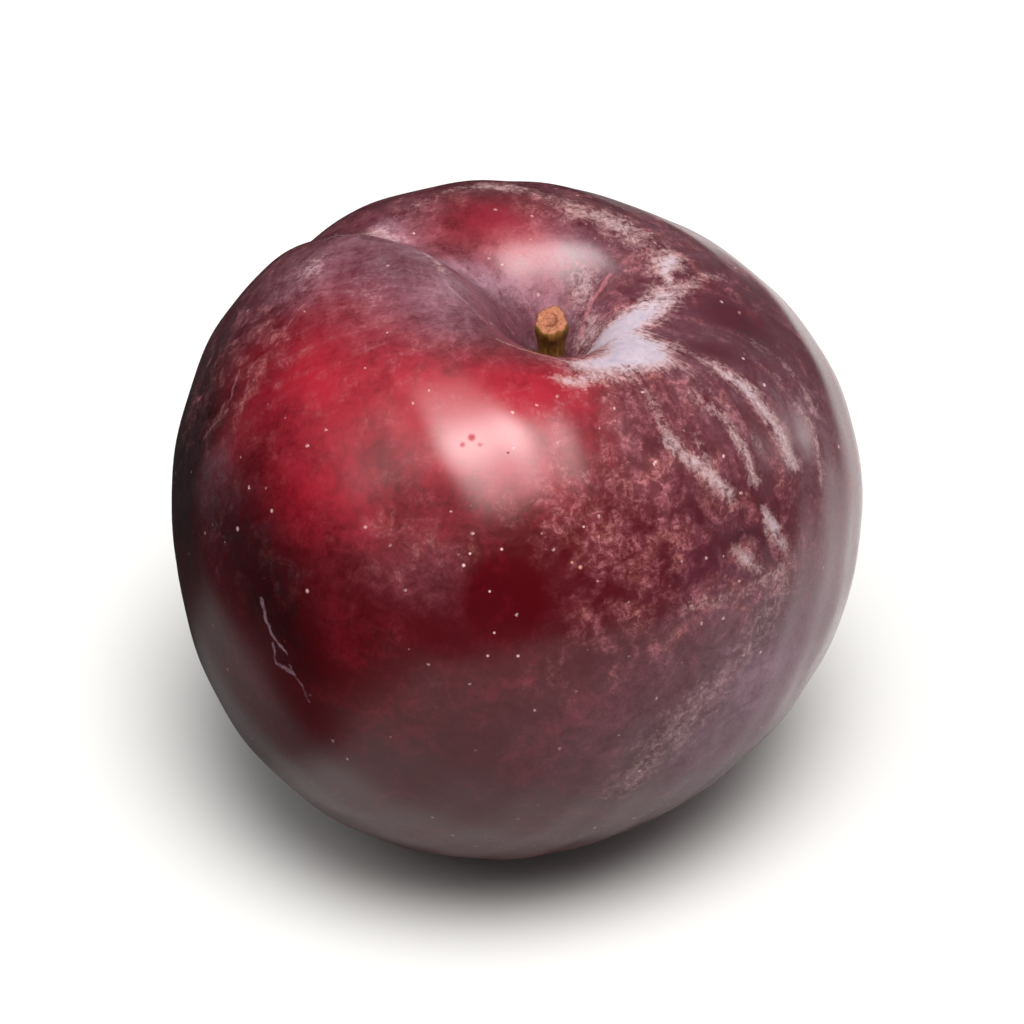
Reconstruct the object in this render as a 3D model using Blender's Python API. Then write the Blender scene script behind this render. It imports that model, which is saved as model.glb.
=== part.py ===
"""A ripe red plum with its short cut stem, standing on the small flat spot under it.

Metres, +Z up, the front faces -Y. The origin is on the surface it stands on, under the middle
of the fruit.
"""
import math

import bmesh
import bpy
from mathutils import Matrix, Vector

# Fruit, measured from its own centre before it leans
HALF_WIDTH = 0.0310
HALF_DEPTH = 0.0300
CROWN = 0.0303
KEEL = 0.0312
UPPER_FULLNESS = 1.08
LOWER_FULLNESS = 0.96
HEIGHT_FULLNESS = 0.91

# How the fruit departs from an even round: part of the radius, and the side it is towards
OVAL_SHARE = 0.011
OVAL_TOWARDS = math.radians(32)
TRIPLE_SHARE = 0.020
TRIPLE_TOWARDS = math.radians(14)
HIGH_SHOULDER = 0.0021
HIGH_TOWARDS = math.radians(187)
KEEL_SHIFT = Vector((-0.0021, 0.0003))

# Stem cavity: a steep funnel in a shallow basin
CAVITY_CENTRE = Vector((0.0034, -0.0005))
FUNNEL_DEPTH = 0.0078
FUNNEL_RADIUS = 0.0045
BASIN_CENTRE = Vector((0.0038, 0.0))
BASIN_DEPTH = 0.0043
BASIN_RADIUS = 0.0108

# Suture: the valley that runs from the cavity over the rear left shoulder and down the flank
SUTURE_TOWARDS = math.radians(144)
SUTURE_DEPTH = 0.0030
SUTURE_FRONT_WIDTH = 0.0026
SUTURE_REAR_WIDTH = 0.0070
SUTURE_DEEPEST_AT = 0.0085
SUTURE_REACH_IN = 0.0060
SUTURE_REACH_OUT = 0.0130
FLANK_GROOVE_DEPTH = 0.0006
FLANK_GROOVE_WIDTH = 0.0030
FLANK_GROOVE_FROM = 0.0140

# Saddle: the soft dip where the cavity opens to the right
SADDLE_TOWARDS = math.radians(2)
SADDLE_DEPTH = 0.0015
SADDLE_FRONT_WIDTH = 0.0050
SADDLE_REAR_WIDTH = 0.0060
SADDLE_DEEPEST_AT = 0.0110
SADDLE_REACH_IN = 0.0050
SADDLE_REACH_OUT = 0.0070
VALLEY_START = 0.0035

# How it stands
LEAN = math.radians(5)
FLAT_SPOT_REACH = math.radians(12)

# Mesh of the fruit
SEGMENTS = 72
RINGS = 52
TOP_CROWDING = 0.18

# Stem
STEM_RADIUS = 0.00122
STEM_ABOVE_FLOOR = 0.0051
SOCKET_DEPTH = 0.0022
GAP = 0.0003
# Share of the stem's height, radius as a share of STEM_RADIUS, and its lean to the front
STEM_STATIONS = (
    (0.00, 0.98, 0.00000),
    (0.22, 1.00, 0.00000),
    (0.38, 0.94, 0.00001),
    (0.54, 0.93, 0.00003),
    (0.70, 0.98, 0.00008),
    (0.82, 1.10, 0.00016),
    (0.91, 1.22, 0.00026),
    (0.97, 1.20, 0.00036),
    (1.00, 1.08, 0.00044),
)
SOCKET_SIDES = 24

# Looks
SKIN_COLOUR = (0.180, 0.012, 0.026, 1.0)
STEM_COLOUR = (0.230, 0.110, 0.040, 1.0)


def clear_scene():
    """Remove every object, so that the script starts from an empty scene."""
    for thing in list(bpy.data.objects):
        bpy.data.objects.remove(thing, do_unlink=True)


def new_collection(name):
    """A collection of the given name, linked to the scene."""
    group = bpy.data.collections.new(name)
    bpy.context.scene.collection.children.link(group)
    return group


def move_to(thing, group):
    """Put an object in one collection only."""
    for owner in list(thing.users_collection):
        owner.objects.unlink(thing)
    group.objects.link(thing)


def principled(name, colour, roughness):
    """A plain Principled material."""
    material = bpy.data.materials.new(name)
    material.use_nodes = True
    shader = material.node_tree.nodes["Principled BSDF"]
    shader.inputs["Base Color"].default_value = colour
    shader.inputs["Roughness"].default_value = roughness
    shader.inputs["Metallic"].default_value = 0.0
    material.diffuse_color = colour
    return material


def bell(distance, width):
    """1 at no distance, falling smoothly to 0."""
    return math.exp(-((distance / width) ** 2))


def polar(unit):
    """Angle of a direction down from the upper pole."""
    return math.acos(max(-1.0, min(1.0, unit.z)))


def crowd_to_cavity(unit):
    """Turn a direction on the unit sphere, so that the mesh has its poles where they serve.

    The upper pole falls in the stem cavity, with the rings closer together round it, and the
    lower pole falls on the point that the leaning fruit rests on.
    """
    down = polar(unit)
    if unit.z > 0.0:
        down -= TOP_CROWDING * math.sin(2.0 * down)
    around = math.atan2(unit.y, unit.x)
    x = math.sin(down) * math.cos(around)
    y = math.sin(down) * math.sin(around)
    z = math.cos(down)
    pull = max(z, 0.0) ** 2
    reach_x = (CAVITY_CENTRE.x / HALF_WIDTH) ** (1.0 / UPPER_FULLNESS)
    reach_y = CAVITY_CENTRE.y / HALF_DEPTH
    rest = -math.sin(LEAN) * min(z, 0.0) ** 2
    return Vector((x + reach_x * pull, y + reach_y * pull + rest, z)).normalized()


def round_form(unit):
    """Point of the fruit without its cavity and valleys, from a direction."""
    around = math.atan2(unit.y, unit.x)
    upper = unit.z > 0.0
    ring = math.sin(polar(unit)) ** (UPPER_FULLNESS if upper else LOWER_FULLNESS)
    uneven = OVAL_SHARE * math.cos(2.0 * (around - OVAL_TOWARDS))
    uneven += TRIPLE_SHARE * math.cos(3.0 * (around - TRIPLE_TOWARDS))
    spread = ring * (1.0 + uneven * ring)
    x = HALF_WIDTH * spread * math.cos(around)
    y = HALF_DEPTH * spread * math.sin(around)
    rise = abs(unit.z) ** HEIGHT_FULLNESS
    if upper:
        towards = x * math.cos(HIGH_TOWARDS) + y * math.sin(HIGH_TOWARDS)
        return Vector((x, y, CROWN * rise + HIGH_SHOULDER * unit.z * towards / HALF_WIDTH))
    x += KEEL_SHIFT.x * unit.z ** 2
    y += KEEL_SHIFT.y * unit.z ** 2
    return Vector((x, y, -KEEL * rise))


def valley(place, towards, widths, deepest_at, reaches):
    """Share of a valley's depth at a place in plan: widths and reaches are near and far."""
    offset = Vector((place.x, place.y)) - CAVITY_CENTRE
    out = offset.length
    if out < 1e-9:
        return 0.0
    turn = math.atan2(offset.y, offset.x) - towards
    across = out * math.sin(turn)
    front = across * math.cos(towards) < 0.0
    width = widths[0] if front else widths[1]
    reach = reaches[0] if out < deepest_at else reaches[1]
    share = bell(across, width) * bell(out - deepest_at, reach)
    share *= 0.5 + 0.5 * math.tanh(4.0 * math.cos(turn))
    return share * (1.0 - bell(out, VALLEY_START))


def flank_groove(place):
    """How far the suture pulls the skin in along the flank."""
    offset = Vector((place.x, place.y)) - CAVITY_CENTRE
    turn = math.atan2(offset.y, offset.x) - SUTURE_TOWARDS
    across = offset.length * math.sin(turn)
    begins = 0.5 + 0.5 * math.tanh((offset.length - FLANK_GROOVE_FROM) / FLANK_GROOVE_WIDTH)
    if place.z < 0.0:
        begins = offset.length / HALF_WIDTH
    ahead = 0.5 + 0.5 * math.tanh(4.0 * math.cos(turn))
    return FLANK_GROOVE_DEPTH * bell(across, FLANK_GROOVE_WIDTH) * begins * ahead


def fruit_point(unit):
    """Point of the fruit's skin for a direction on the unit sphere."""
    point = round_form(unit)
    outward = Vector((point.x / HALF_WIDTH ** 2, point.y / HALF_DEPTH ** 2, point.z / CROWN ** 2))
    point -= outward.normalized() * flank_groove(point)
    top = max(0.0, min(1.0, 2.0 * unit.z))
    top *= top * (3.0 - 2.0 * top)
    if top > 0.0:
        plan = Vector((point.x, point.y))
        sunk = FUNNEL_DEPTH * bell((plan - CAVITY_CENTRE).length, FUNNEL_RADIUS)
        sunk += BASIN_DEPTH * bell((plan - BASIN_CENTRE).length, BASIN_RADIUS)
        sunk += SUTURE_DEPTH * valley(plan, SUTURE_TOWARDS, (SUTURE_FRONT_WIDTH, SUTURE_REAR_WIDTH),
                                      SUTURE_DEEPEST_AT, (SUTURE_REACH_IN, SUTURE_REACH_OUT))
        sunk += SADDLE_DEPTH * valley(plan, SADDLE_TOWARDS, (SADDLE_FRONT_WIDTH, SADDLE_REAR_WIDTH),
                                      SADDLE_DEEPEST_AT, (SADDLE_REACH_IN, SADDLE_REACH_OUT))
        point.z -= top * sunk
    return point


def level_flat_spot(mesh_edit, spot):
    """Bring the points of the flat spot to one level and make one face of them."""
    rim_height = max(vertex.co.z for vertex in spot)
    for vertex in spot:
        vertex.co.z = rim_height
    lowest = set(spot)
    faces = [face for face in mesh_edit.faces if all(vertex in lowest for vertex in face.verts)]
    bmesh.ops.dissolve_faces(mesh_edit, faces=faces, use_verts=True)
    return rim_height


def make_fruit(group):
    """The flesh and skin in one body. Returns it, and the move from its own frame to standing."""
    bpy.ops.mesh.primitive_uv_sphere_add(segments=SEGMENTS, ring_count=RINGS, radius=1.0)
    fruit = bpy.context.object
    fruit.name = "fruit"
    move_to(fruit, group)
    lean = Matrix.Rotation(LEAN, 4, "X")
    edit = bmesh.new()
    edit.from_mesh(fruit.data)
    spot = [v for v in edit.verts if math.pi - polar(v.co.normalized()) < FLAT_SPOT_REACH]
    for vertex in edit.verts:
        vertex.co = lean @ fruit_point(crowd_to_cavity(vertex.co.normalized()))
    level = level_flat_spot(edit, spot)
    middle_x = 0.5 * (min(v.co.x for v in edit.verts) + max(v.co.x for v in edit.verts))
    middle_y = 0.5 * (min(v.co.y for v in edit.verts) + max(v.co.y for v in edit.verts))
    to_origin = Matrix.Translation((-middle_x, -middle_y, -level))
    bmesh.ops.transform(edit, matrix=to_origin, verts=edit.verts)
    edit.to_mesh(fruit.data)
    edit.free()
    fruit.data.shade_smooth()
    fruit.data.set_sharp_from_angle(angle=math.radians(40))
    fruit.data.materials.append(principled("plum_skin", SKIN_COLOUR, 0.3))
    return fruit, to_origin @ lean


def cut_socket(fruit, floor, stand, group):
    """Bore the plain hole that the stem's foot stands in."""
    radius = STEM_RADIUS + GAP
    above = 2.0 * SOCKET_DEPTH
    bpy.ops.mesh.primitive_cylinder_add(vertices=SOCKET_SIDES, radius=radius,
                                        depth=SOCKET_DEPTH + above)
    cutter = bpy.context.object
    cutter.name = "socket_cutter"
    centre = floor + Vector((0.0, 0.0, 0.5 * (above - SOCKET_DEPTH)))
    cutter.matrix_world = stand @ Matrix.Translation(centre)
    move_to(cutter, group)
    cutter.hide_render = True
    cutter.display_type = "WIRE"
    bore = fruit.modifiers.new("stem_socket", "BOOLEAN")
    bore.operation = "DIFFERENCE"
    bore.solver = "EXACT"
    bore.object = cutter


def make_stem(floor, stand, group):
    """The woody stem, a little waisted, with a flared end where it was cut."""
    path = bpy.data.curves.new("stem", "CURVE")
    path.dimensions = "3D"
    path.bevel_depth = STEM_RADIUS
    path.bevel_resolution = 6
    path.use_fill_caps = True
    spline = path.splines.new("POLY")
    spline.points.add(len(STEM_STATIONS) - 1)
    foot = floor.z - SOCKET_DEPTH + GAP
    height = floor.z + STEM_ABOVE_FLOOR - foot
    for point, (share, girth, forward) in zip(spline.points, STEM_STATIONS):
        point.co = (floor.x, floor.y - forward, foot + share * height, 1.0)
        point.radius = girth
    stem = bpy.data.objects.new("stem", path)
    stem.matrix_world = stand
    group.objects.link(stem)
    path.materials.append(principled("plum_stem", STEM_COLOUR, 0.7))
    return stem


def main():
    clear_scene()
    parts = new_collection("plum")
    cutters = new_collection("cutters")
    fruit, stand = make_fruit(parts)
    floor = fruit_point(crowd_to_cavity(Vector((0.0, 0.0, 1.0))))
    cut_socket(fruit, floor, stand, cutters)
    make_stem(floor, stand, parts)


main()
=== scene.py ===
"""A ripe red plum with its bloom, suture and short cut stem, on a pale floor in soft light."""

import math

import bmesh
import bpy
import numpy as np
from mathutils import Matrix, Vector


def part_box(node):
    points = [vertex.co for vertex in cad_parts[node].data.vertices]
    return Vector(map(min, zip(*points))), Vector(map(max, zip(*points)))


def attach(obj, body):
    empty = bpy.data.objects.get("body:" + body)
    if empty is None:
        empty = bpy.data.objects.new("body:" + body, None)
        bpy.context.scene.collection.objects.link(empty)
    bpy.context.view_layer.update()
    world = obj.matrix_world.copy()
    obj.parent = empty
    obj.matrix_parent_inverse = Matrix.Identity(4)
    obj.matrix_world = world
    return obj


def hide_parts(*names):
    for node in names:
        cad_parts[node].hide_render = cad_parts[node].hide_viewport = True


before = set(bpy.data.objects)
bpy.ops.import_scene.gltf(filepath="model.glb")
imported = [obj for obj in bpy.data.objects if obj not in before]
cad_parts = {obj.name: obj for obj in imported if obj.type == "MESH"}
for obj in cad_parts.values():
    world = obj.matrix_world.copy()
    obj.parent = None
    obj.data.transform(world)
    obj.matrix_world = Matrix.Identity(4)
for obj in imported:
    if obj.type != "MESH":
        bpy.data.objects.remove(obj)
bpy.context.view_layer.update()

# The fruit's form, in metres, the same as the frame's own
HALF_WIDTH = 0.0310
HALF_DEPTH = 0.0300
CROWN = 0.0303
KEEL = 0.0312
UPPER_FULLNESS = 1.08
LOWER_FULLNESS = 0.96
HEIGHT_FULLNESS = 0.91
OVAL = (0.011, math.radians(32))
TRIPLE = (0.020, math.radians(14))
HIGH_SHOULDER = (0.0021, math.radians(187))
KEEL_SHIFT = (-0.0021, 0.0003)
CAVITY = (0.0034, -0.0005)
FUNNEL = (0.0078, 0.0045)
BASIN = (0.0038, 0.0)
BASIN_SHAPE = (0.0043, 0.0108)
SUTURE_TOWARDS = math.radians(144)
SUTURE = dict(depth=0.0030, front=0.0026, rear=0.0070, at=0.0085, near=0.0060, far=0.0130)
SADDLE_TOWARDS = math.radians(2)
SADDLE = dict(depth=0.0015, front=0.0050, rear=0.0060, at=0.0110, near=0.0050, far=0.0070)
VALLEY_START = 0.0035
FLANK_GROOVE = dict(depth=0.0006, width=0.0030, begins=0.0140)
LEAN = math.radians(5)

# Finer form that only the visible skin has
BAY = dict(east=0.0100, north=0.0040, radius=0.0040, depth=0.0007)
# A lump wave is its turns per millimetre along X, Y and Z, and where it starts
LUMPS = (
    (0.62, 0.31, 0.20, 0.4),
    (-0.27, 0.58, 0.35, 2.1),
    (0.35, -0.22, 0.66, 4.0),
    (0.90, 0.75, -0.5, 1.3),
)
LUMP_HEIGHT = 0.00004
# How softly the flesh turns up from the surface that it settles on
SETTLED_EDGE = 0.0001

# Fineness of the skin's mesh
SKIN_SEGMENTS = 360
SKIN_RINGS = 270
TOP_CROWDING = 0.18

# Fibres of bloom run out from the cavity, with a slight twist
FIBRE_TWIST = 0.4
FIBRES_AROUND = 22.0
FIBRES_DOWN = 6.0

MM = 0.001

# The stem: how finely it is made, and its radius in millimetres at the shaft, end and foot
STEM_SIDE_STEPS = 40
STEM_TOP_STEPS = 12
STEM_TURN_STEPS = 64
SHAFT = 1.18
FLARE = 0.24
ROUNDED_EDGE = 0.10
FOOT = 0.30
# A rib wave is its depth, its number round the stem, its drift along it and where it starts
RIBS = ((0.045, 5.0, 3.0, 0.0), (0.030, 9.0, -5.0, 1.0), (0.025, 16.0, 2.0, 2.0))
FOOT_FROM_BACK = 1.22 * MM
TIP_FROM_FRONT = 1.50 * MM
CUT_SLANT = 0.40
# The ring crack in the cut end
RING_MIDDLE = (-0.1, 0.1)
RING_RADIUS = 0.42
RING_WIDTH = 0.13
RING_HOLLOW = (0.22, 0.16)

# The camera looks at the fruit as the photograph does
CAMERA_ELEVATION = 38.0
CAMERA_DISTANCE = 0.56
CAMERA_LENS = 218.0
CAMERA_SENSOR = 36.0
CAMERA_NEAR = 0.01

# The floor, and what the fruit's gloss sees of it: lit near the fruit and dark further off
FLOOR_HALF_SIZE = 3.0
FLOOR_DROP = 0.05 * MM
FLOOR_SEEN = (0.695, 0.692, 0.685)
FLOOR_LIT = (0.42, 0.415, 0.42)
FLOOR_BRIGHT = (0.80, 0.77, 0.77)
FLOOR_DARK = (0.015, 0.015, 0.015)

# A lamp is its azimuth from the front towards the right, its elevation, the degrees within which
# it is full and past which it is out, how fast it falls off between them, and its strength
AMBIENT = 0.008
LAMPS = (
    (14, 70.5, 3.0, 27.0, 1.6, 14.2),
    (14, 70.5, 2.0, 14.0, 1.0, 5.0),
    (-60, 60, 15.0, 55.0, 1.0, 0.28),
    (0, 90, 15.0, 75.0, 1.0, 0.13),
    (95, 45, 15.0, 50.0, 1.0, 0.12),
    (140, 5, 20.0, 70.0, 1.0, 0.22),
    (112, 2, 3.0, 10.0, 1.0, 6.5),
    (-55, 48, 4.0, 20.0, 1.0, 1.9),
)
LAMP_COLOUR = (1.0, 0.99, 0.975, 1.0)
BACKDROP_COLOUR = (0.98, 0.98, 0.98, 1.0)


def bell(distance, width):
    """1 at no distance, falling smoothly to 0."""
    return np.exp(-((distance / width) ** 2))


def smooth(value, low, high):
    """0 below low, 1 above high and an even curve between."""
    t = np.clip((value - low) / (high - low), 0.0, 1.0)
    return t * t * (3.0 - 2.0 * t)


# Form of the fruit


def crowd_to_cavity(unit):
    """Directions on the unit sphere, turned so that the mesh's pole falls in the stem cavity."""
    down = np.arccos(np.clip(unit[:, 2], -1.0, 1.0))
    down = np.where(unit[:, 2] > 0.0, down - TOP_CROWDING * np.sin(2.0 * down), down)
    around = np.arctan2(unit[:, 1], unit[:, 0])
    z = np.cos(down)
    pull = np.maximum(z, 0.0) ** 2
    rest = -math.sin(LEAN) * np.minimum(z, 0.0) ** 2
    x = np.sin(down) * np.cos(around) + pull * (CAVITY[0] / HALF_WIDTH) ** (1.0 / UPPER_FULLNESS)
    y = np.sin(down) * np.sin(around) + pull * CAVITY[1] / HALF_DEPTH + rest
    turned = np.stack([x, y, z], axis=1)
    return turned / np.linalg.norm(turned, axis=1, keepdims=True)


def round_form(unit):
    """Points of the fruit without its cavity and valleys."""
    z = unit[:, 2]
    around = np.arctan2(unit[:, 1], unit[:, 0])
    upper = z > 0.0
    sine = np.sqrt(np.clip(1.0 - z * z, 0.0, 1.0))
    ring = np.where(upper, sine ** UPPER_FULLNESS, sine ** LOWER_FULLNESS)
    uneven = OVAL[0] * np.cos(2.0 * (around - OVAL[1]))
    uneven += TRIPLE[0] * np.cos(3.0 * (around - TRIPLE[1]))
    spread = ring * (1.0 + uneven * ring)
    x = HALF_WIDTH * spread * np.cos(around)
    y = HALF_DEPTH * spread * np.sin(around)
    rise = np.abs(z) ** HEIGHT_FULLNESS
    towards = x * math.cos(HIGH_SHOULDER[1]) + y * math.sin(HIGH_SHOULDER[1])
    crown = CROWN * rise + HIGH_SHOULDER[0] * z * towards / HALF_WIDTH
    lower = np.where(upper, 0.0, z * z)
    height = np.where(upper, crown, -KEEL * rise)
    return np.stack([x + KEEL_SHIFT[0] * lower, y + KEEL_SHIFT[1] * lower, height], axis=1)


def facing_out(points):
    """Unit directions out of the round form at its points."""
    outward = points / np.array([HALF_WIDTH, HALF_DEPTH, CROWN]) ** 2
    return outward / np.linalg.norm(outward, axis=1, keepdims=True)


def from_cavity(points):
    """Distance in plan from the middle of the cavity, and the bearing from it."""
    east = points[:, 0] - CAVITY[0]
    north = points[:, 1] - CAVITY[1]
    return np.hypot(east, north), np.arctan2(north, east)


def valley(out, bearing, towards, shape):
    """Share of a valley's depth at each place."""
    turn = bearing - towards
    across = out * np.sin(turn)
    width = np.where(across * math.cos(towards) < 0.0, shape["front"], shape["rear"])
    reach = np.where(out < shape["at"], shape["near"], shape["far"])
    share = bell(across, width) * bell(out - shape["at"], reach)
    share *= 0.5 + 0.5 * np.tanh(4.0 * np.cos(turn))
    return share * (1.0 - bell(out, VALLEY_START))


def flank_groove(points):
    """How far the suture pulls the skin in along the flank."""
    out, bearing = from_cavity(points)
    turn = bearing - SUTURE_TOWARDS
    across = out * np.sin(turn)
    begins = 0.5 + 0.5 * np.tanh((out - FLANK_GROOVE["begins"]) / FLANK_GROOVE["width"])
    begins = np.where(points[:, 2] < 0.0, out / HALF_WIDTH, begins)
    ahead = 0.5 + 0.5 * np.tanh(4.0 * np.cos(turn))
    return FLANK_GROOVE["depth"] * bell(across, FLANK_GROOVE["width"]) * begins * ahead


def fruit_points(unit):
    """Points of the fruit's skin for directions on the unit sphere, before it leans."""
    points = round_form(unit)
    points = points - facing_out(points) * flank_groove(points)[:, None]
    top = smooth(unit[:, 2], 0.0, 0.5)
    out, bearing = from_cavity(points)
    sunk = FUNNEL[0] * bell(out, FUNNEL[1])
    basin = np.hypot(points[:, 0] - BASIN[0], points[:, 1] - BASIN[1])
    sunk += BASIN_SHAPE[0] * bell(basin, BASIN_SHAPE[1])
    sunk += SUTURE["depth"] * valley(out, bearing, SUTURE_TOWARDS, SUTURE)
    sunk += SADDLE["depth"] * valley(out, bearing, SADDLE_TOWARDS, SADDLE)
    points[:, 2] -= top * sunk
    return points


def skin_points(unit):
    """Points of the visible skin: the fruit's form with its bay behind the stem and soft lumps."""
    points = fruit_points(unit)
    bay = bell(np.hypot(points[:, 0] - BAY["east"], points[:, 1] - BAY["north"]), BAY["radius"])
    lumps = np.zeros(len(points))
    for x, y, z, turn in LUMPS:
        lumps += np.sin((points @ np.array([x, y, z])) / MM + turn)
    outward = points / np.linalg.norm(points, axis=1, keepdims=True)
    points = points + outward * (LUMP_HEIGHT * lumps)[:, None]
    points[:, 2] -= smooth(unit[:, 2], 0.0, 0.5) * BAY["depth"] * bay
    return points


def direction(around, down):
    """Unit direction from degrees round from +X and degrees down from the top."""
    a, d = math.radians(around), math.radians(down)
    return np.array([[math.sin(d) * math.cos(a), math.sin(d) * math.sin(a), math.cos(d)]])


# Materials


class Field:
    """A number that varies over a surface. Arithmetic on it adds Math nodes to its material."""

    def __init__(self, paint, socket):
        self.paint = paint
        self.socket = socket

    def _math(self, operation, *values):
        return self.paint.node("Math", {"operation": operation}, values)

    def __add__(self, other):
        return self._math("ADD", self, other)

    __radd__ = __add__

    def __sub__(self, other):
        return self._math("SUBTRACT", self, other)

    def __rsub__(self, other):
        return self._math("SUBTRACT", other, self)

    def __mul__(self, other):
        return self._math("MULTIPLY", self, other)

    __rmul__ = __mul__

    def __truediv__(self, other):
        return self._math("DIVIDE", self, other)

    def __pow__(self, other):
        return self._math("POWER", self, other)

    def most(self, other):
        return self._math("MAXIMUM", self, other)

    def least(self, other):
        return self._math("MINIMUM", self, other)

    def absolute(self):
        return self._math("ABSOLUTE", self)

    def held(self):
        """The number kept between 0 and 1."""
        return self.most(0.0).least(1.0)

    def step(self, low, high):
        """0 below low, 1 above high and an even curve between."""
        return self.paint.node("MapRange", {"interpolation_type": "SMOOTHSTEP"},
                               {"Value": self, "From Min": low, "From Max": high})


class Paint:
    """The nodes of one material or world."""

    def __init__(self, owner):
        owner.use_nodes = True
        self.tree = owner.node_tree
        self.tree.nodes.clear()

    def node(self, kind, settings, inputs, output=0):
        """Add a node of a kind, with its settings, and values or links for its sockets."""
        made = self.tree.nodes.new("ShaderNode" + kind)
        for name, value in settings.items():
            setattr(made, name, value)
        pairs = inputs.items() if isinstance(inputs, dict) else enumerate(inputs)
        for name, value in pairs:
            if isinstance(value, Field):
                self.tree.links.new(value.socket, made.inputs[name])
            else:
                made.inputs[name].default_value = value
        return Field(self, made.outputs[output])

    def mix(self, first, second, share):
        """One colour laid over another."""
        first = first if isinstance(first, Field) else (*first, 1.0)
        second = second if isinstance(second, Field) else (*second, 1.0)
        return self.node("Mix", {"data_type": "RGBA"}, {0: share, 6: first, 7: second}, 2)

    def place(self, scale=(1.0, 1.0, 1.0)):
        """Place on the piece in millimetres, stretched."""
        here = self.node("TexCoord", {}, {}, "Object")
        scale = tuple(s / MM for s in scale)
        return self.node("Mapping", {}, {"Vector": here, "Scale": scale})

    def attribute(self, name, output="Fac"):
        return self.node("Attribute", {"attribute_name": name}, {}, output)

    def noise(self, vector, scale, detail, roughness, distortion=0.0, output=0):
        """Cloudy noise, with so many features to the millimetre."""
        return self.node("TexNoise", {}, {
            "Vector": vector,
            "Scale": scale,
            "Detail": detail,
            "Roughness": roughness,
            "Distortion": distortion,
        }, output)

    def vector(self, operation, first, second, output=0):
        return self.node("VectorMath", {"operation": operation}, {0: first, 1: second}, output)

    def shaken(self, here, scale, detail, amount):
        """The place, moved a little at random."""
        shake = self.noise(here, scale, detail, 0.6, 0.0, "Color")
        shake = self.vector("SUBTRACT", shake, (0.5, 0.5, 0.5))
        shake = self.node("VectorMath", {"operation": "SCALE"}, {0: shake, "Scale": amount})
        return self.vector("ADD", here, shake)

    def away(self, here, route):
        """Distance from a route of one or more points."""
        if len(route) == 1:
            return self.vector("DISTANCE", here, route[0], "Value")
        nearest = None
        for start, end in zip(route, route[1:]):
            run = end - start
            offset = self.vector("SUBTRACT", here, start)
            along = self.vector("DOT_PRODUCT", offset, run, "Value")
            share = self.node("MapRange", {}, {"Value": along, "From Max": run.length_squared})
            foot = self.node("VectorMath", {"operation": "SCALE"}, {0: run, "Scale": share})
            distance = self.vector("DISTANCE", offset, foot, "Value")
            nearest = distance if nearest is None else nearest.least(distance)
        return nearest

    def finish(self, shader, kind="Material"):
        end = self.tree.nodes.new("ShaderNodeOutput" + kind)
        self.tree.links.new(shader.socket, end.inputs["Surface"])


# Colours, as linear light
DEEP = (0.072, 0.0008, 0.0030)
CRIMSON = (0.370, 0.0085, 0.0240)
PURPLE = (0.062, 0.0070, 0.0155)
BLACK = (0.014, 0.0012, 0.0022)
VEIL = (0.36, 0.215, 0.275)
ROSE = (0.47, 0.155, 0.180)
TAN = (0.44, 0.165, 0.115)
THIN_FROST = (0.56, 0.355, 0.340)
SHADY_FROST = (0.37, 0.320, 0.395)
FROST = (0.54, 0.455, 0.515)
PALE_DOT = (0.85, 0.560, 0.540)
CORK = (0.62, 0.300, 0.200)
DARK_BARK = (0.055, 0.022, 0.004)
OLIVE_BARK = (0.320, 0.150, 0.022)
RED_BARK = (0.110, 0.018, 0.012)
DARK_WOOD = (0.180, 0.050, 0.022)
PALE_WOOD = (0.540, 0.210, 0.120)


def base_colour(paint, clouds, mottle, grain):
    """Crimson to deep red and purple, as the fruit ripened, and near black where shade is painted
    on.
    """
    red = paint.attribute("blush")
    red = red + (clouds - 0.5) * 1.0 + (mottle - 0.5) * 0.8 + (grain - 0.5) * 0.5
    colour = paint.mix(DEEP, CRIMSON, red.step(0.05, 1.1))
    dusk = paint.attribute("dusk") * (0.35 + mottle * 1.3) + (clouds - 0.5) * 0.4
    colour = paint.mix(colour, PURPLE, dusk.held())
    # Painted shade: patches of the skin darkened towards near black
    shade = paint.attribute("shade") + (mottle - 0.5) * 0.8
    return paint.mix(colour, BLACK, shade.step(0.10, 0.95))


def threads(paint, here, scale, detail, sharpness):
    """Thin winding lines, 1 in their middle."""
    winding = paint.noise(here, scale, detail, 0.62, 0.9)
    return 1.0 - ((winding - 0.5).absolute() * sharpness).held()


def frost_cover(paint, here, grain, mottle, streaks):
    """White powder, thick where it is whole and ragged at its edges; a few of its patches are
    painted highlights.
    """
    frost_and_highlight = paint.attribute("frost_and_highlight")
    comb = paint.attribute("comb")
    loose = (grain - 0.5) * 3.4 + (mottle - 0.5) * 2.4
    along = (streaks - 0.5) * 2.2 + (grain - 0.5) * 3.0 + (mottle - 0.5) * 1.4
    pattern = loose * (1.0 - comb) + along * comb
    edge = (frost_and_highlight * 1.45 - 0.62 + pattern * 0.65).step(-0.35, 0.75) * (frost_and_highlight * 3.0).held()
    crumbs = paint.noise(here, 3.1, 3.0, 0.6, 0.5)
    return edge * (frost_and_highlight * 1.0 + (crumbs - 0.42) * 1.8 * (1.15 - frost_and_highlight)).step(-0.25, 0.80)


def lace_cover(paint, here, loose, grain, bands):
    """Thin pinkish bloom: an open haze, winding threads and dark holes between them."""
    lace = paint.attribute("lace")
    clumps = paint.noise(here, 0.34, 3.0, 0.55, 0.6)
    bits = paint.noise(here, 0.85, 3.0, 0.60, 0.8)
    raked = (bands - 0.5) * paint.attribute("comb")
    spread = (lace * 0.85 + (clumps - 0.5) * 2.8 + raked * 3.0).step(-0.10, 1.10)
    spread = spread * (lace * 5.0).held()
    web = threads(paint, loose, 0.75, 5.0, 11.0) * 0.75
    web = web + threads(paint, loose, 1.6, 4.0, 9.0) * 0.40
    open_web = web * (grain * 3.0 - 0.85).held() * ((bits - 0.36) * 4.5).held()
    return spread * (0.10 + open_web).held()


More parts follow.
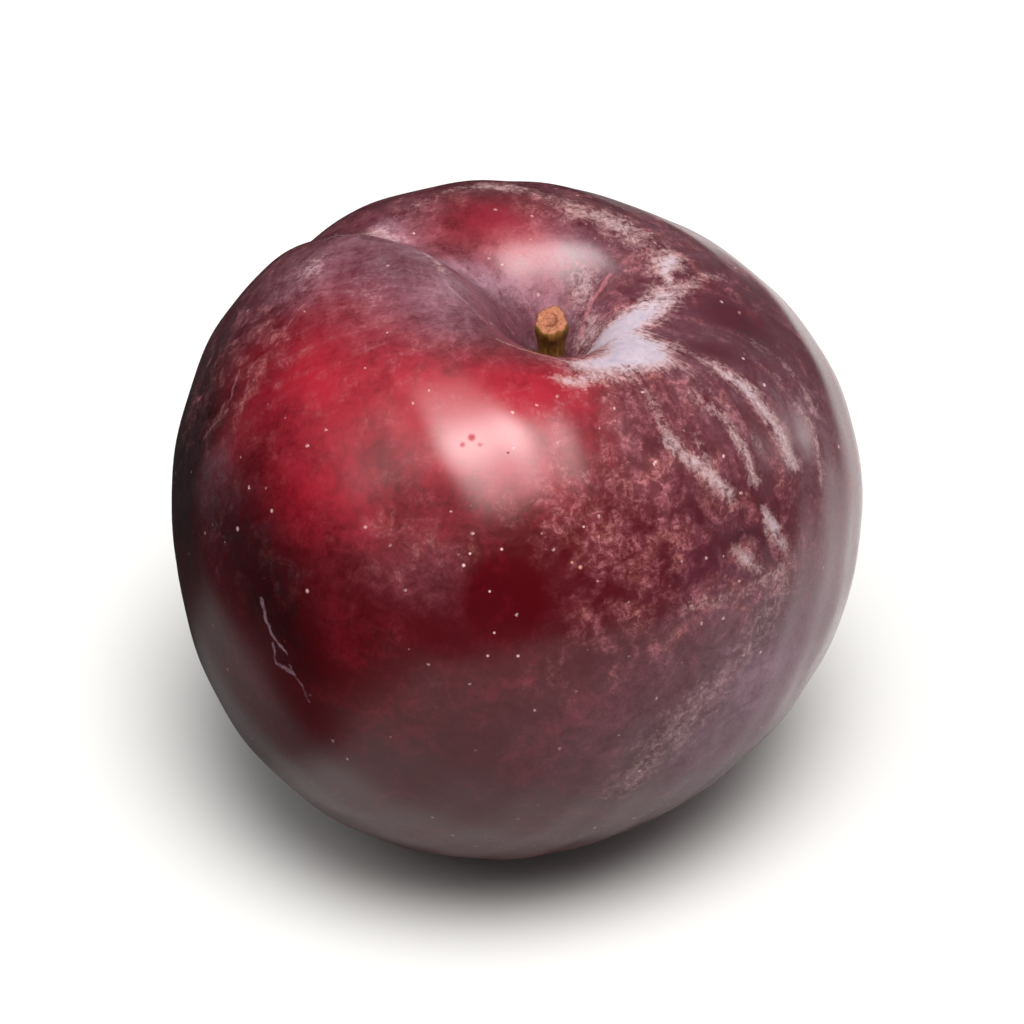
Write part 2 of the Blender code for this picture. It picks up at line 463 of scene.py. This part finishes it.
def lenticels(paint, here, spacing, size, share):
    """Small round dots, one to a cell but not in every cell."""
    inputs = {"Vector": here, "Scale": 1.0 / spacing, "Randomness": 1.0}
    distance = paint.node("TexVoronoi", {}, inputs) * spacing
    cell = paint.node("TexVoronoi", {}, inputs, "Color")
    lot = paint.node("SeparateColor", {}, {"Color": cell}, "Red")
    radius = size * (0.55 + lot * 0.9)
    return (1.0 - (distance / radius).step(0.55, 1.15)) * lot.step(1.0 - share, 1.02 - share)


def thin_marks(paint, here, listed, stand):
    """Scratches, specks and pale edges, each a thin line or a spot in a colour of its own."""
    loose = paint.shaken(here, 0.9, 3.0, 0.9)
    broken = (paint.noise(here, 1.6, 3.0, 0.6) * 3.4 - 0.8).held()
    for width, amount, colour, route in listed:
        points = [stand(place) / MM for place in route]
        line = paint.node("MapRange", {"interpolation_type": "SMOOTHSTEP"}, {
            "Value": paint.away(loose if len(route) > 1 else here, points),
            "From Min": width * 0.2,
            "From Max": width,
            "To Min": amount,
            "To Max": 0.0,
        })
        yield line * broken if len(route) > 1 else line, colour


def skin_material(stand):
    """Thin glossy skin, red to near black with painted shade, under a patchy waxy bloom that also
    carries a few painted highlights.
    """
    material = bpy.data.materials.new("plum_skin")
    paint = Paint(material)
    here = paint.place()
    combed = paint.attribute("combed", "Vector")
    clouds = paint.noise(here, 0.11, 3.0, 0.55, 0.4)
    mottle = paint.noise(here, 0.45, 4.0, 0.6, 0.8)
    grain = paint.noise(here, 1.7, 6.0, 0.68, 0.9)
    streaks = paint.noise(combed, 1.5, 5.0, 0.66, 0.5)
    bands = paint.noise(combed, 0.55, 3.0, 0.55, 0.3)
    loose = paint.shaken(here, 5.0, 2.0, 0.35)

    colour = base_colour(paint, clouds, mottle, grain)
    lace = lace_cover(paint, here, loose, grain, bands)
    tint = paint.mix(ROSE, TAN, ((paint.noise(here, 0.33, 3.0, 0.5, 1.0) - 0.48) * 3.0).held())
    colour = paint.mix(colour, tint, lace)
    fibres = (streaks - 0.5) * paint.attribute("comb")
    patchy = clouds * 1.1 + fibres * 1.3 + (mottle - 0.5) * 1.6 + (grain - 0.4) * 1.3
    veil_and_highlight = (paint.attribute("veil_and_highlight") * patchy).held()
    haze = paint.mix(VEIL, ROSE, (paint.attribute("blush") * 1.8 - 0.4).held())
    colour = paint.mix(colour, haze, veil_and_highlight)
    frost_and_highlight = frost_cover(paint, here, grain, mottle, streaks)
    thick = (paint.attribute("frost_and_highlight") * 2.2 - 1.00 + (grain - 0.5)).held()
    powder = paint.mix(FROST, SHADY_FROST, (mottle * 2.6 - 0.95).held())
    white = paint.mix(THIN_FROST, powder, thick)
    colour = paint.mix(colour, white, frost_and_highlight * 0.90)
    dots = lenticels(paint, loose, 1.8, 0.14, 0.40)
    colour = paint.mix(colour, PALE_DOT, dots * (grain * 2.0 - 0.55).held())
    specks = lenticels(paint, loose, 1.2, 0.11, 0.40)
    specks = specks * (paint.attribute("lace") * 1.8 - 0.25).held()
    colour = paint.mix(colour, PALE_DOT, specks * 0.65)
    dull = 0.0
    for share, mark in thin_marks(paint, here, THIN_MARKS, stand):
        colour = paint.mix(colour, mark, share)
        dull = share + dull

    waxy = (lace * 0.6 + veil_and_highlight * 0.9 + frost_and_highlight).held()
    # The relief leaves out the bloom's own pattern, because a bump works its height out three times
    crust = paint.attribute("frost_and_highlight") + paint.attribute("lace") * 0.7
    crust = (crust + paint.attribute("veil_and_highlight") * 0.4).held()
    height = (paint.noise(here, 1.7, 4.0, 0.68) - 0.5) * (0.15 + crust * 1.3)
    normal = paint.node("Bump", {}, {"Strength": 0.11, "Distance": 0.0005, "Height": height})
    shader = paint.node("BsdfPrincipled", {}, {
        "Base Color": colour,
        "Roughness": (0.45 + waxy * 0.3).held(),
        "Coat Weight": (1.0 - waxy * 0.8 - (grain - 0.5).absolute() * 0.3 - dull).held(),
        "Coat Roughness": 0.22,
        "Coat IOR": 1.45,
        "IOR": 1.4,
        "Specular IOR Level": 0.05,
        "Normal": normal,
    })
    paint.finish(shader)
    return material


def stem_material():
    """Dry olive-brown bark and a rough tan cut end."""
    material = bpy.data.materials.new("plum_stem")
    paint = Paint(material)
    here = paint.place()
    fibres = paint.place((1.0, 1.0, 0.22))
    cut = paint.attribute("cut")
    crack = paint.attribute("crack")
    grain = paint.noise(fibres, 3.2, 5.0, 0.6, 0.4)
    patches = paint.noise(here, 0.9, 3.0, 0.55, 0.3)
    bark = paint.mix(DARK_BARK, OLIVE_BARK, (grain * 1.9 - 0.45).held())
    bark = paint.mix(bark, RED_BARK, (patches * 1.6 - 0.75).held())
    speckle = paint.noise(here, 3.6, 4.0, 0.7, 0.8)
    wood = paint.mix(DARK_WOOD, PALE_WOOD, (speckle * 2.4 - 0.65 - crack * 0.8).held())
    colour = paint.mix(bark, wood, cut)
    height = grain * (1.0 - cut) + speckle * cut
    normal = paint.node("Bump", {}, {"Strength": 0.6, "Distance": 0.0002, "Height": height})
    shader = paint.node("BsdfPrincipled", {}, {
        "Base Color": colour,
        "Roughness": 0.72,
        "Specular IOR Level": 0.3,
        "Normal": normal,
    })
    paint.finish(shader)
    return material


# Marks on the skin. A place is degrees round from +X and degrees down from the top.
# A patch is a place, two half sizes in millimetres, a turn in degrees and an amount.
PATCHES = {
    "blush": (
        ((-150, 40), 10.0, 8.0, 0, 0.43),
        ((-152, 40), 3.6, 2.6, 0, 0.30),
        ((-93, 84), 13.0, 7.0, 0, 0.06),
        ((-168, 32), 6.0, 5.0, 0, 0.22),
        ((-108, 32), 9.0, 6.0, 0, 0.58),
        ((-70, 26), 5.0, 4.0, 0, 0.45),
        ((-120, 54), 9.0, 5.5, 0, 0.29),
        ((-173, 50), 5.0, 6.0, 0, 0.16),
        ((-135, 60), 5.0, 6.0, 0, 0.28),
        ((110, 24), 10.0, 5.0, 0, 0.44),
        ((60, 15), 6.0, 3.0, 0, 0.30),
        ((88, 19), 4.0, 2.4, 0, 0.30),
        ((-164, 60), 5.0, 7.0, 0, 0.34),
        ((-90, 63), 3.8, 3.8, 0, -0.16),
        ((-88, 40), 7.0, 6.0, 0, 0.50),
        ((-117, 75), 4.0, 5.0, 0, 0.22),
    ),
    "dusk": (
        ((5, 44), 11.0, 14.0, 0, 0.80),
        ((-44, 66), 9.0, 6.0, 0, 0.65),
        ((-52, 48), 6.0, 8.0, 0, 0.30),
        ((-174, 28), 6.0, 5.0, 0, 0.40),
        ((80, 50), 20.0, 16.0, 0, 0.60),
        ((-38, 92), 13.0, 10.0, 0, 0.60),
        ((175, 50), 5.0, 9.0, 0, 0.15),
    ),
    # Painted shade: where the skin is darkened towards near black
    "shade": (
        ((-140, 70), 7.0, 6.0, 20, 0.60),
        ((-128, 80), 6.0, 6.0, 0, 0.50),
        ((-166, 75), 8.0, 10.0, 0, 0.60),
        ((178, 66), 9.0, 12.0, 0, 0.40),
        ((-98, 72), 7.0, 2.0, 0, 0.16),
        ((160, 80), 14.0, 14.0, 0, 0.40),
        ((0, 44), 3.0, 8.0, 10, 0.30),
        ((-42, 65), 2.4, 1.2, 0, 0.50),
        ((-101, 66), 2.5, 3.5, 0, 0.20),
        ((-88, 20), 4.0, 1.6, 0, 0.25),
        ((-112, 40), 1.4, 4.0, 0, 0.20),
        ((170, 22), 4.0, 4.0, 0, 0.36),
        ((-165, 45), 4.0, 6.0, 0, 0.20),
        ((35, 42), 12.0, 5.0, 0, 0.30),
    ),
    "veil_and_highlight": (
        # Painted highlight: a pale patch on the cavity's rear wall, beside the lamp's own highlight
        # there
        ((48, 18), 2.6, 1.8, 0, 0.50),
        ((90, 18), 4.5, 2.6, 0, 1.00),
        ((172, 38), 4.0, 2.6, 0, 0.30),
        ((-172, 24), 5.5, 5.0, 0, 0.27),
        ((165, 40), 5.0, 6.0, 0, 0.22),
        ((-130, 17), 4.0, 3.0, 0, 0.34),
        ((-176, 11), 3.0, 2.4, 0, 0.45),
        ((138, 27), 4.0, 3.0, 0, 0.75),
        ((-25, 40), 9.0, 9.0, 0, 0.14),
        ((-42, 96), 13.0, 10.0, 0, 0.85),
        ((-10, 68), 7.0, 14.0, 0, 0.30),
        ((-105, 60), 8.0, 4.0, 0, 0.12),
        ((-90, 86), 10.0, 6.0, 0, 0.05),
        ((-158, 66), 3.0, 3.0, 0, 0.16),
        ((60, 60), 20.0, 16.0, 0, 0.18),
        ((140, 70), 20.0, 18.0, 0, 0.20),
    ),
    "frost_and_highlight": (
        ((-42, 25), 3.0, 2.6, 20, 0.75),
        ((-27, 26), 2.8, 2.4, 40, 0.75),
        ((-12, 21), 2.6, 2.6, 20, 0.70),
        ((-24, 30), 2.4, 1.6, 20, 0.42),
        ((28, 32), 1.7, 2.2, 20, 0.66),
        ((66, 29), 4.6, 2.2, 0, 0.52),
        ((46, 31), 3.2, 2.2, 0, 0.44),
        # Painted highlight: white on the cavity's rear wall
        ((42, 17), 2.2, 1.5, 0, 0.64),
        ((92, 34), 3.8, 2.0, 0, 0.50),
        ((165, 37), 2.2, 1.4, 0, 0.46),
        # White bloom at the crease, made brighter as painted highlight
        ((146, 37), 1.6, 2.6, 0, 0.40),
        ((-70, 25), 1.6, 0.9, -30, 0.55),
        ((-60, 26), 1.8, 0.9, 0, 0.55),
        ((11, 14), 1.6, 1.2, 0, 0.50),
        ((-132, 82), 1.3, 1.6, 0, 0.24),
        ((-35, 67), 1.3, 1.9, 10, 0.62),
        ((-43, 68), 1.5, 1.1, 30, 0.50),
        ((-62, 93), 6.0, 3.6, 40, 0.46),
        ((-70, 102), 4.0, 2.0, 40, 0.42),
        ((-44, 84), 6.0, 3.0, 30, 0.36),
        ((-36, 76), 4.0, 2.0, 30, 0.30),
        ((120, 34), 8.0, 1.2, 0, 0.34),
        ((-150, 73), 1.6, 2.0, 0, 0.26),
        ((-173, 25), 4.5, 3.0, 0, 0.30),
        ((172, 42), 3.5, 4.5, 0, 0.26),
        # White bloom at the start of the crease, made brighter as painted highlight
        ((140, 30), 2.0, 3.0, 0, 0.48),
    ),
    "lace": (
        ((-63, 47), 8.0, 9.5, 0, 0.78),
        ((-76, 56), 5.0, 4.0, 0, 0.36),
        ((-54, 72), 9.0, 4.0, 0, 0.55),
        ((-108, 57), 5.5, 2.8, 0, 0.34),
        ((-30, 46), 7.0, 8.0, 0, 0.14),
        ((-125, 34), 9.0, 6.0, 0, 0.14),
        ((178, 58), 5.0, 8.0, 0, 0.20),
        ((-165, 50), 5.0, 5.0, 0, 0.22),
        ((88, 16), 4.5, 2.5, 0, 0.60),
        ((60, 40), 18.0, 12.0, 0, 0.16),
        ((20, 75), 16.0, 14.0, 0, 0.22),
        ((100, 80), 20.0, 18.0, 0, 0.36),
    ),
    "comb": (
        ((-16, 44), 11.0, 9.0, 0, 1.0),
        ((-30, 25), 5.0, 4.0, 0, 0.4),
        ((10, 30), 5.0, 5.0, 0, 0.5),
        ((-165, 30), 10.0, 9.0, 0, 0.9),
        ((-170, 60), 8.0, 9.0, 0, 0.6),
    ),
}
# A stroke is a half width in millimetres, an amount and the places that it runs through
STROKES = {
    "frost_and_highlight": (
        (1.50, 0.72, ((-58, 22), (-44, 24), (-30, 25), (-17, 28), (-14, 31))),
        (2.00, 0.90, ((-14, 17), (-4, 20), (5, 24), (12, 28))),
        (1.40, 0.80, ((-20, 15), (-12, 18), (0, 22), (9, 26), (15, 31))),
        (1.10, 0.60, ((9, 26), (15, 31), (18, 35))),
        (0.90, 0.55, ((15, 30), (24, 30), (29, 33))),
        (0.90, 0.44, ((20, 35), (22, 42))),
        (1.25, 0.74, ((-15, 34), (-18, 40), (-18, 47), (-20, 51), (-21, 56), (-22, 61))),
        (1.10, 0.60, ((3, 40), (0, 45), (-1, 51), (-6, 60))),
        (0.90, 0.54, ((-6, 43), (-7, 51), (-11, 61), (-17, 68))),
        (1.00, 0.56, ((-33, 38), (-31, 42), (-30, 45), (-31, 49), (-32, 53), (-34, 58))),
        (0.90, 0.42, ((-24, 33), (-28, 38), (-26, 46), (-27, 54))),
        (0.80, 0.52, ((-43, 34), (-45, 37), (-47, 41), (-48, 44))),
        (0.80, 0.52, ((-41, 45), (-41, 48), (-42, 51))),
        (1.20, 0.62, ((-48, 43), (-46, 47), (-43, 52), (-41, 57))),
        (0.40, 0.40, ((-168, 66), (-166, 58))),
        (0.80, 0.56, ((-35, 63), (-34, 67), (-34, 71))),
        (0.80, 0.52, ((-45, 65), (-43, 69), (-41, 72))),
        (0.80, 0.42, ((-58, 71), (-53, 72), (-48, 74), (-42, 74), (-36, 75))),
        # Painted highlight: a pale line along the edge of the crease
        (0.70, 0.52, ((138, 31), (143, 25), (156, 16), (170, 13))),
    ),
    "veil_and_highlight": (
        # Lavender bloom in the suture's bed, laid on more strongly as painted sheen along the
        # crease
        (2.20, 0.85, ((136, 32), (142, 26), (152, 18), (128, 13), (95, 10), (57, 12))),
    ),
}
# Dark gaps that the strokes and the cheek's bloom leave
GAPS = (
    ((-8, 44), 2.0, 7.0, 10, 0.50),
    ((8, 39), 3.2, 4.0, 0, 0.90),
    ((4, 52), 3.0, 6.0, 0, 0.50),
    ((103, 23), 6.4, 3.4, 0, 0.95),
    ((-60, 61), 4.0, 3.0, 0, 0.45),
    ((-12, 36), 1.6, 3.0, 10, 0.60),
    ((-38, 38), 1.4, 4.0, 10, 0.45),
    ((-25, 46), 1.2, 6.0, 10, 0.45),
    ((-38, 50), 1.0, 5.0, 10, 0.35),
    ((-43, 64), 1.2, 0.9, 0, 0.60),
    ((-48, 69), 0.9, 1.0, 0, 0.50),
    ((-38, 67), 0.6, 1.2, 0, 0.50),
    ((-91, 63), 3.2, 3.6, 0, 2.5),
    ((-106, 70), 5.0, 3.0, 0, 0.60),
    ((-110, 92), 12.0, 8.0, 0, 0.90),
    ((-152, 40), 7.0, 7.0, 0, 0.40),
    ((-98, 37), 7.0, 5.0, 0, 0.90),
    ((-128, 80), 8.0, 6.0, 0, 0.60),
)
# What every point of the skin carries at least
LEAST = {
    "blush": 0.08,
    "dusk": 0.06,
    "shade": 0.0,
    "veil_and_highlight": 0.015,
    "frost_and_highlight": 0.0,
    "lace": 0.06,
    "comb": 0.15,
}
# A thin mark is a half width, an amount, a colour and the places that it runs through
THIN_MARKS = (
    (0.30, 0.60, ROSE, ((-54, 16), (11, 13), (20, 14), (26, 16), (29, 18), (33, 21))),
    (0.30, 0.35, THIN_FROST, ((-100, 15), (-85, 16), (-68, 17), (-61, 20), (-54, 23))),
    (0.15, 0.40, VEIL, ((140, 28), (156, 19), (-168, 12), (-141, 10), (-112, 11))),
    (0.30, 0.66, VEIL, ((-136, 76), (-134, 79), (-132, 81), (-129, 82))),
    (0.26, 0.60, VEIL, ((-132, 82), (-131, 85), (-127, 85))),
    (0.22, 0.45, VEIL, ((-128, 84), (-126, 86), (-124, 89))),
    (0.18, 0.34, VEIL, ((-168, 66), (-166, 58), (-172, 53))),
    (0.18, 0.34, ROSE, ((-171, 43), (-178, 38))),
    (0.50, 0.80, CRIMSON, ((-101, 37),)),
    (0.36, 0.65, CRIMSON, ((-103, 38.5),)),
    (0.30, 0.55, CRIMSON, ((-98.5, 38),)),
    (0.16, 0.90, BLACK, ((-91, 39),)),
    (0.24, 0.95, CORK, ((-77, 59),)),
    (0.16, 0.95, CORK, ((-78.5, 58),)),
    (0.18, 0.80, PALE_DOT, ((-92, 55),)),
    (0.22, 0.85, PALE_DOT, ((-99, 58),)),
    (0.17, 0.80, PALE_DOT, ((-98, 56),)),
    (0.16, 0.80, PALE_DOT, ((-94, 62),)),
    (0.16, 0.80, PALE_DOT, ((-93, 69),)),
    (0.17, 0.80, PALE_DOT, ((-94, 73),)),
    (0.20, 0.85, PALE_DOT, ((-89, 73),)),
    (0.30, 0.60, PALE_DOT, ((-146, 69),)),
    (0.26, 0.60, PALE_DOT, ((-127, 70),)),
    (0.24, 0.60, PALE_DOT, ((-140, 62),)),
)


def skin_frame(place):
    """A place on the skin, and its directions across, along and out of the skin."""
    unit = direction(*place)
    centre = skin_points(unit)[0]
    facing = facing_out(round_form(unit))[0]
    across = np.cross((0.0, 0.0, 1.0), facing)
    across /= np.linalg.norm(across)
    return centre, across, np.cross(facing, across), facing


def patches(points, outward, listed):
    """Sum of soft oval patches that lie in the skin."""
    total = np.zeros(len(points))
    for place, width, length, turn, amount in listed:
        centre, across, along, facing = skin_frame(place)
        t = math.radians(turn)
        first = across * math.cos(t) + along * math.sin(t)
        second = along * math.cos(t) - across * math.sin(t)
        offset = (points - centre) / MM
        reach = ((offset @ first) / width) ** 2 + ((offset @ second) / length) ** 2
        total += amount * np.exp(-reach) * smooth(outward @ facing, 0.1, 0.5)
    return total


def strokes(points, listed):
    """The strongest of the strokes at each point, soft towards its sides and ends."""
    total = np.zeros(len(points))
    for width, amount, route in listed:
        nearest = np.full(len(points), 1.0)
        for first, last in zip(route, route[1:]):
            start, end = skin_points(np.vstack([direction(*first), direction(*last)]))
            run = end - start
            offset = points - start
            share = np.clip(offset @ run / (run @ run), 0.0, 1.0)
            distance = np.linalg.norm(offset - share[:, None] * run, axis=1)
            nearest = np.minimum(nearest, distance)
        total = np.maximum(total, amount * bell(nearest / MM, width))
    return total


def mark_skin(mesh, points, outward):
    """Store how much of each kind of mark every point of the skin carries."""
    gaps = patches(points, outward, GAPS)
    for name, listed in PATCHES.items():
        amount = LEAST[name] + patches(points, outward, listed)
        if name in STROKES:
            amount = np.maximum(amount, strokes(points, STROKES[name]) + amount * 0.4)
        if name in ("frost_and_highlight", "lace", "veil_and_highlight"):
            amount = amount * np.clip(1.0 - gaps, 0.0, 1.0)
        floats(mesh, name, np.clip(amount, 0.0, 1.0))


# Pieces


def floats(mesh, name, values):
    """Store one number for each point of a mesh."""
    layer = mesh.attributes.new(name, "FLOAT", "POINT")
    layer.data.foreach_set("value", np.asarray(values, dtype=np.float32))


def vectors(mesh, name, values):
    """Store one vector for each point of a mesh."""
    layer = mesh.attributes.new(name, "FLOAT_VECTOR", "POINT")
    layer.data.foreach_set("vector", np.asarray(values, dtype=np.float32).ravel())


def places(mesh):
    """The points of a mesh as rows of numbers."""
    rows = np.empty(len(mesh.vertices) * 3, dtype=np.float32)
    mesh.vertices.foreach_get("co", rows)
    return rows.reshape(-1, 3).astype(float)


def add_piece(name, mesh, material, node):
    """Put a mesh in the scene as a smooth piece that replaces one of the frame's nodes."""
    mesh.polygons.foreach_set("use_smooth", [True] * len(mesh.polygons))
    mesh.update()
    mesh.materials.append(material)
    piece = bpy.data.objects.new(name, mesh)
    bpy.context.scene.collection.objects.link(piece)
    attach(piece, "root")
    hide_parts(node)


def make_skin():
    """The whole skin. Gives the middle of the fruit, at its widest."""
    shape = bmesh.new()
    bmesh.ops.create_uvsphere(shape, u_segments=SKIN_SEGMENTS, v_segments=SKIN_RINGS, radius=1.0)
    mesh = bpy.data.meshes.new("fruit_skin")
    shape.to_mesh(mesh)
    shape.free()
    unit = places(mesh)
    unit = crowd_to_cavity(unit / np.linalg.norm(unit, axis=1, keepdims=True))
    points = skin_points(unit)
    mark_skin(mesh, points, facing_out(round_form(unit)))
    down = np.arccos(np.clip(unit[:, 2], -1.0, 1.0))
    twist = from_cavity(points)[1] + FIBRE_TWIST * down
    combed = [FIBRES_AROUND * np.cos(twist), FIBRES_AROUND * np.sin(twist), down * FIBRES_DOWN]
    vectors(mesh, "combed", np.stack(combed, axis=1))

    points = points @ np.array(Matrix.Rotation(LEAN, 3, "X")).T
    low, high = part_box("fruit")
    middle = (points.min(axis=0) + points.max(axis=0)) / 2.0
    east = (low.x + high.x) / 2.0 - middle[0]
    north = (low.y + high.y) / 2.0 - middle[1]
    shift = np.array([east, north, high.z - points[:, 2].max()])
    points += shift
    # The flesh settles on the surface
    points[:, 2] = 0.5 * (points[:, 2] + np.sqrt(points[:, 2] ** 2 + SETTLED_EDGE ** 2))
    mesh.vertices.foreach_set("co", points.astype(np.float32).ravel())
    upright = Matrix.Translation(shift) @ Matrix.Rotation(LEAN, 4, "X")

    def stand(place):
        """Where a place on the skin is on the standing fruit."""
        return upright @ Vector(skin_points(direction(*place))[0])

    add_piece("fruit_skin", mesh, skin_material(stand), "fruit")
    return Vector(shift)


def make_stem():
    """The woody stem, wider at its foot and at its slanted cut end."""
    low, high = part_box("stem")
    length = high.z - low.z
    profile = [(1.0, step / STEM_SIDE_STEPS) for step in range(STEM_SIDE_STEPS + 1)]
    profile += [(1.0 - step / STEM_TOP_STEPS, 1.0) for step in range(1, STEM_TOP_STEPS + 1)]
    shape = bmesh.new()
    joints = [shape.verts.new((radius, 0.0, height)) for radius, height in profile]
    line = [shape.edges.new(pair) for pair in zip(joints, joints[1:])]
    bmesh.ops.spin(shape, geom=joints + line, cent=(0.0, 0.0, 0.0), axis=(0.0, 0.0, 1.0),
                   angle=math.tau, steps=STEM_TURN_STEPS, use_merge=True)
    bmesh.ops.remove_doubles(shape, verts=shape.verts, dist=1e-5)
    bmesh.ops.recalc_face_normals(shape, faces=shape.faces)
    mesh = bpy.data.meshes.new("stem_wood")
    shape.to_mesh(mesh)
    shape.free()

    start = places(mesh)
    height = start[:, 2]
    inner = np.hypot(start[:, 0], start[:, 1])
    turn = np.arctan2(start[:, 1], start[:, 0])
    girth = SHAFT + FLARE * smooth(height, 0.62, 0.92) - ROUNDED_EDGE * smooth(height, 0.95, 1.0)
    girth += FOOT * (1.0 - smooth(height, 0.26, 0.38))
    ribs = np.zeros(len(start))
    for depth, count, drift, begins in RIBS:
        ribs += depth * np.sin(turn * count + height * drift + begins)
    girth *= 1.0 + ribs * (0.7 + 0.3 * smooth(height, 0.6, 0.9))
    radius = girth * inner * MM
    on_top = height > 0.999
    flat_x, flat_y = inner * np.cos(turn), inner * np.sin(turn)
    bumps = 0.10 * np.sin(flat_x * 4.0 + 1.0) + 0.08 * np.sin(flat_y * 7.0 + flat_x * 3.0)
    off_ring = np.hypot(flat_x - RING_MIDDLE[0], flat_y - RING_MIDDLE[1]) - RING_RADIUS
    cracked_side = smooth(flat_x - flat_y, -0.6, 0.4)
    bumps -= RING_HOLLOW[0] * bell(off_ring, RING_HOLLOW[1]) * cracked_side
    foot_y = high.y - FOOT_FROM_BACK
    tip_y = low.y + TIP_FROM_FRONT
    x = (low.x + high.x) / 2.0 + radius * np.cos(turn)
    y = foot_y + (tip_y - foot_y) * (0.75 * height + 0.25 * height ** 3) + radius * np.sin(turn)
    z = low.z + height * length + CUT_SLANT * radius * np.sin(turn) * smooth(height, 0.70, 1.0)
    z = z + np.where(on_top, bumps * MM, 0.0)
    mesh.vertices.foreach_set("co", np.stack([x, y, z], axis=1).astype(np.float32).ravel())
    floats(mesh, "cut", smooth(height, 0.97, 1.0) * smooth(1.02 - inner, 0.0, 0.10))
    floats(mesh, "crack", bell(off_ring, RING_WIDTH) * cracked_side)
    add_piece("stem_wood", mesh, stem_material(), "stem")


# Floor, light and camera


def make_floor():
    """A large pale floor just under the fruit, which dims away from it in the fruit's gloss."""
    shape = bmesh.new()
    bmesh.ops.create_grid(shape, x_segments=1, y_segments=1, size=FLOOR_HALF_SIZE)
    mesh = bpy.data.meshes.new("floor")
    shape.to_mesh(mesh)
    shape.free()
    mesh.transform(Matrix.Translation((0.0, 0.0, -FLOOR_DROP)))
    floor = bpy.data.objects.new("floor", mesh)
    bpy.context.scene.collection.objects.link(floor)
    material = bpy.data.materials.new("pale_floor")
    paint = Paint(material)
    here = paint.node("TexCoord", {}, {}, "Object")
    east = paint.node("SeparateXYZ", {}, {"Vector": here}, "X")
    north = paint.node("SeparateXYZ", {}, {"Vector": here}, "Y")
    far = (((east - 0.02) / 0.14) ** 2.0 + (north / 0.235) ** 2.0) ** 0.5
    rear_left = east.step(-0.085, -0.055) * north.step(-0.030, -0.012)
    rear_left = rear_left * (1.0 - north.step(0.004, 0.022)) * 0.34
    front_right = (east - north * 0.33).step(-0.034, -0.017)
    near = (1.0 - far.step(0.94, 1.04)) * front_right.most(rear_left)
    seen = paint.node("LightPath", {}, {}, "Is Camera Ray")
    # Painted light seen only in the fruit's gloss: a brighter patch of floor to the right of the
    # fruit
    rear_right = east.step(0.024, 0.036) * north.step(-0.014, 0.0)
    lit = paint.mix(FLOOR_LIT, FLOOR_BRIGHT, rear_right)
    glossed = paint.mix(FLOOR_DARK, lit, near)
    colour = paint.mix(glossed, FLOOR_SEEN, seen)
    shader = paint.node("BsdfDiffuse", {}, {"Color": colour})
    paint.finish(shader)
    mesh.materials.append(material)


def make_world():
    """Soft studio light: a large lamp overhead, weak ones at the sides and dark surroundings."""
    world = bpy.data.worlds.new("studio")
    bpy.context.scene.world = world
    paint = Paint(world)
    ray = paint.node("TexCoord", {}, {}, "Generated")

    def lobe(azimuth, elevation, inner, outer):
        """1 within inner degrees of a direction, 0 past outer."""
        a, e = math.radians(azimuth), math.radians(elevation)
        aim = (math.sin(a) * math.cos(e), -math.cos(a) * math.cos(e), math.sin(e))
        near = paint.vector("DOT_PRODUCT", ray, aim, "Value")
        return near.step(math.cos(math.radians(outer)), math.cos(math.radians(inner)))

    light = AMBIENT
    for azimuth, elevation, inner, outer, fall, strength in LAMPS:
        glow = lobe(azimuth, elevation, inner, outer)
        if fall != 1.0:
            glow = glow ** fall
        light = light + glow * strength
    lamp = paint.node("Background", {}, {"Color": LAMP_COLOUR, "Strength": light})
    seen = paint.node("Background", {}, {"Color": BACKDROP_COLOUR, "Strength": 1.0})
    camera_ray = paint.node("LightPath", {}, {}, "Is Camera Ray")
    paint.finish(paint.node("MixShader", {}, {0: camera_ray, 1: lamp, 2: seen}), "World")


def make_camera(aim):
    """A long lens at the photograph's viewing angle."""
    data = bpy.data.cameras.new("camera")
    data.lens = CAMERA_LENS
    data.sensor_width = CAMERA_SENSOR
    data.clip_start = CAMERA_NEAR
    camera = bpy.data.objects.new("camera", data)
    bpy.context.scene.collection.objects.link(camera)
    up = math.radians(CAMERA_ELEVATION)
    back = Vector((0.0, -math.cos(up), math.sin(up)))
    camera.location = aim + back * CAMERA_DISTANCE
    camera.rotation_euler = (-back).to_track_quat("-Z", "Y").to_euler()
    bpy.context.scene.camera = camera


middle = make_skin()
make_stem()
make_floor()
make_world()
make_camera(middle)
bpy.context.scene.view_settings.view_transform = "Standard"
